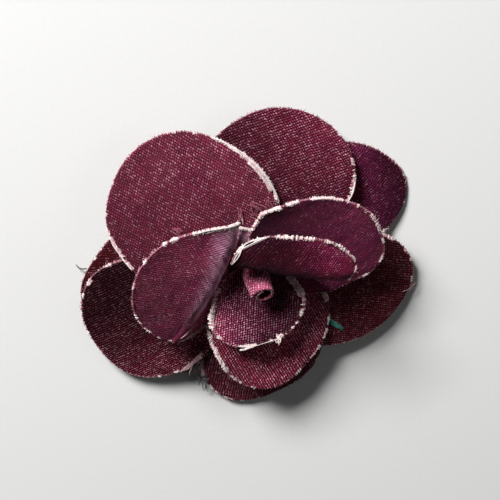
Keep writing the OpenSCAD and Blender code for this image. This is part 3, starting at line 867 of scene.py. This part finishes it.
def bud_point(h, w, off):
    """Point of the rolled strip, h up it and w round from its outer end, off mm out of its middle."""
    lean, way = np.radians(BUD["lean"] * h)[..., None], math.radians(BUD["azimuth"])
    ahead = np.array([math.cos(way), math.sin(way), 0])
    aside, up = np.array([-math.sin(way), math.cos(way), 0]), np.array([0, 0, 1])
    arc = BUD["length"] / math.radians(BUD["lean"])
    centre = BUD["root"] + arc * ((1 - np.cos(lean)) * ahead + np.sin(lean) * up)
    outer = BUD["foot"] + (BUD["tip"] - BUD["foot"]) * h - BUD["cloth"] / 2
    radius = outer - (BUD["cloth"] + BUD["gap"]) * BUD["turns"] * w + off
    angle = (np.radians(BUD["end"] - 360 * BUD["turns"] * w) - way)[..., None]
    across = np.cos(lean) * ahead - np.sin(lean) * up
    return centre + radius[..., None] * (np.cos(angle) * across + np.sin(angle) * aside)


def build_bud():
    """The rolled strip at the centre."""
    rows, columns = 28, 150
    h, w = np.meshgrid(np.linspace(0, 1, rows), np.linspace(0, 1, columns), indexing="ij")
    x, y = 2 * math.pi * BUD["radius"] * BUD["turns"] * w, h * BUD["length"]  # flat on the strip, in mm
    bumps = 0.05 * waves(SEEDS["bud"], x, y, 3, 7)
    outside, inside = bud_point(h, w, CLOTH / 2 + bumps), bud_point(h, w, bumps - CLOTH / 2)
    rim = rim_walk(rows, columns)
    middle = ((outside + inside) / 2).reshape(-1, 3)[rim]
    inner = bud_point(np.clip(h, 0.05, 0.95), np.clip(w, 0.01, 0.99), 0 * h).reshape(-1, 3)[rim]
    weave = weave_place(x, y, 24)
    shade = 0.55 + 0.6 * ease((outside - BUD["root"])[..., 0], -3.0, 3.0)  # painted shade: darker on the left
    # painted light: the outside of the bud is given a much brighter tone than its cloth has
    piece = make_cloth("bud_cloth", outside, inside, middle + unit(middle - inner, 1e-9) * 0.12,
                       [denim("bud_denim_outside", 2.9, 1.05, 1.25, haze=0.12),
                        denim("bud_denim_inside", 1.0, 0.9, 0.6), raw_edge("bud_raw_edge", 1.2)],
                       (0, 1, 2), weave, weave.reshape(-1, 2)[rim] * 1.2,
                       raw=(0, 0, 0.02), faded=(shade, shade, shade.ravel()[rim]))
    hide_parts("bud")


build_bud()


# ---------------- back: disc and pin
def build_disc():
    """Disc of the same cloth, two layers thick, with a soft edge."""
    low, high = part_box("backing_disc")
    centre, radius, half = (low + high) / 2 / MM, (high[0] - low[0]) / 2 / MM, (high[2] - low[2]) / 2 / MM
    soft = 0.35  # radius of the rounded edge
    profile = [(0, half)] + [(radius * r, half) for r in (0.2, 0.4, 0.6, 0.8, 0.93)]
    profile += [(radius - soft + soft * math.sin(t), (half - soft) + soft * math.cos(t))
                for t in (0, math.pi / 4, math.pi / 2)]
    profile += [(radius - 0.12, 0)]
    profile += [(r, -z) for r, z in profile[-2::-1]]
    steps = 96
    points, faces, weave = [], [], []
    for i, (r, z) in enumerate(profile):
        for j in range(steps):
            turn = 2 * math.pi * j / steps
            x, y = r * math.cos(turn), r * math.sin(turn)
            points.append((centre[0] + x, centre[1] + y, centre[2] + z))
            weave.append((x / LINE_PITCH, y / ROW_PITCH + z))
            if i:
                n = (j + 1) % steps
                faces.append([(i - 1) * steps + j, i * steps + j, i * steps + n, (i - 1) * steps + n])
    piece = make_piece("disc_cloth", points, faces, [denim("disc_denim", 0.6, 1.1, 0.6, haze=0.03)],
                       weave=weave, attributes={"raw": np.zeros(len(points)), "faded": np.ones(len(points))})
    bm = bmesh.new()  # joins the points that lie on each other at the middle
    bm.from_mesh(piece.data)
    bmesh.ops.remove_doubles(bm, verts=bm.verts, dist=1e-6)
    bm.to_mesh(piece.data)
    bm.free()
    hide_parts("backing_disc")


build_disc()
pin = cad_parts["brooch_pin"]
pin.data.materials.clear()
pin.data.materials.append(steel("pin_steel"))

# ---------------- floor, light
def build_floor():
    """Plain pale floor under the brooch."""
    t = Tree("pale_floor", 0.75, Specular_IOR_Level=0.2)
    grain = t.noise(t.place(), 900.0, 4.0)
    colour = t.mix(grain, rgb(0.66, 0.657, 0.65), rgb(0.70, 0.697, 0.69))
    mesh = bpy.data.meshes.new("floor")
    mesh.from_pydata([(-2, -2, 0), (2, -2, 0), (2, 2, 0), (-2, 2, 0)], [], [[0, 1, 2, 3]])
    mesh.materials.append(t.done(colour, t.bump(grain, 0.05, 0.0002)))
    floor = bpy.data.objects.new("floor", mesh)
    bpy.context.scene.collection.objects.link(floor)


def add_light(name, place, size, watts):
    """Area light that looks at the brooch."""
    data = bpy.data.lights.new(name, "AREA")
    data.size, data.energy = size, watts
    light = bpy.data.objects.new(name, data)
    bpy.context.scene.collection.objects.link(light)
    light.location = place
    light.rotation_mode = "QUATERNION"
    light.rotation_quaternion = (Vector((0, 0, 0.01)) - Vector(place)).to_track_quat("-Z", "Y")


build_floor()
add_light("key", (-0.494, 0.791, 0.583), 0.32, 26)
add_light("side", (0.74, 0.27, 0.78), 0.45, 0.7)
world = bpy.data.worlds.new("world")
bpy.context.scene.world = world
world.use_nodes = True
background = world.node_tree.nodes["Background"].inputs
background["Color"].default_value = rgb(0.95, 0.97, 1.0)
background["Strength"].default_value = 0.035
bpy.context.scene.view_settings.view_transform = "Standard"
bpy.context.scene.view_settings.look = "None"
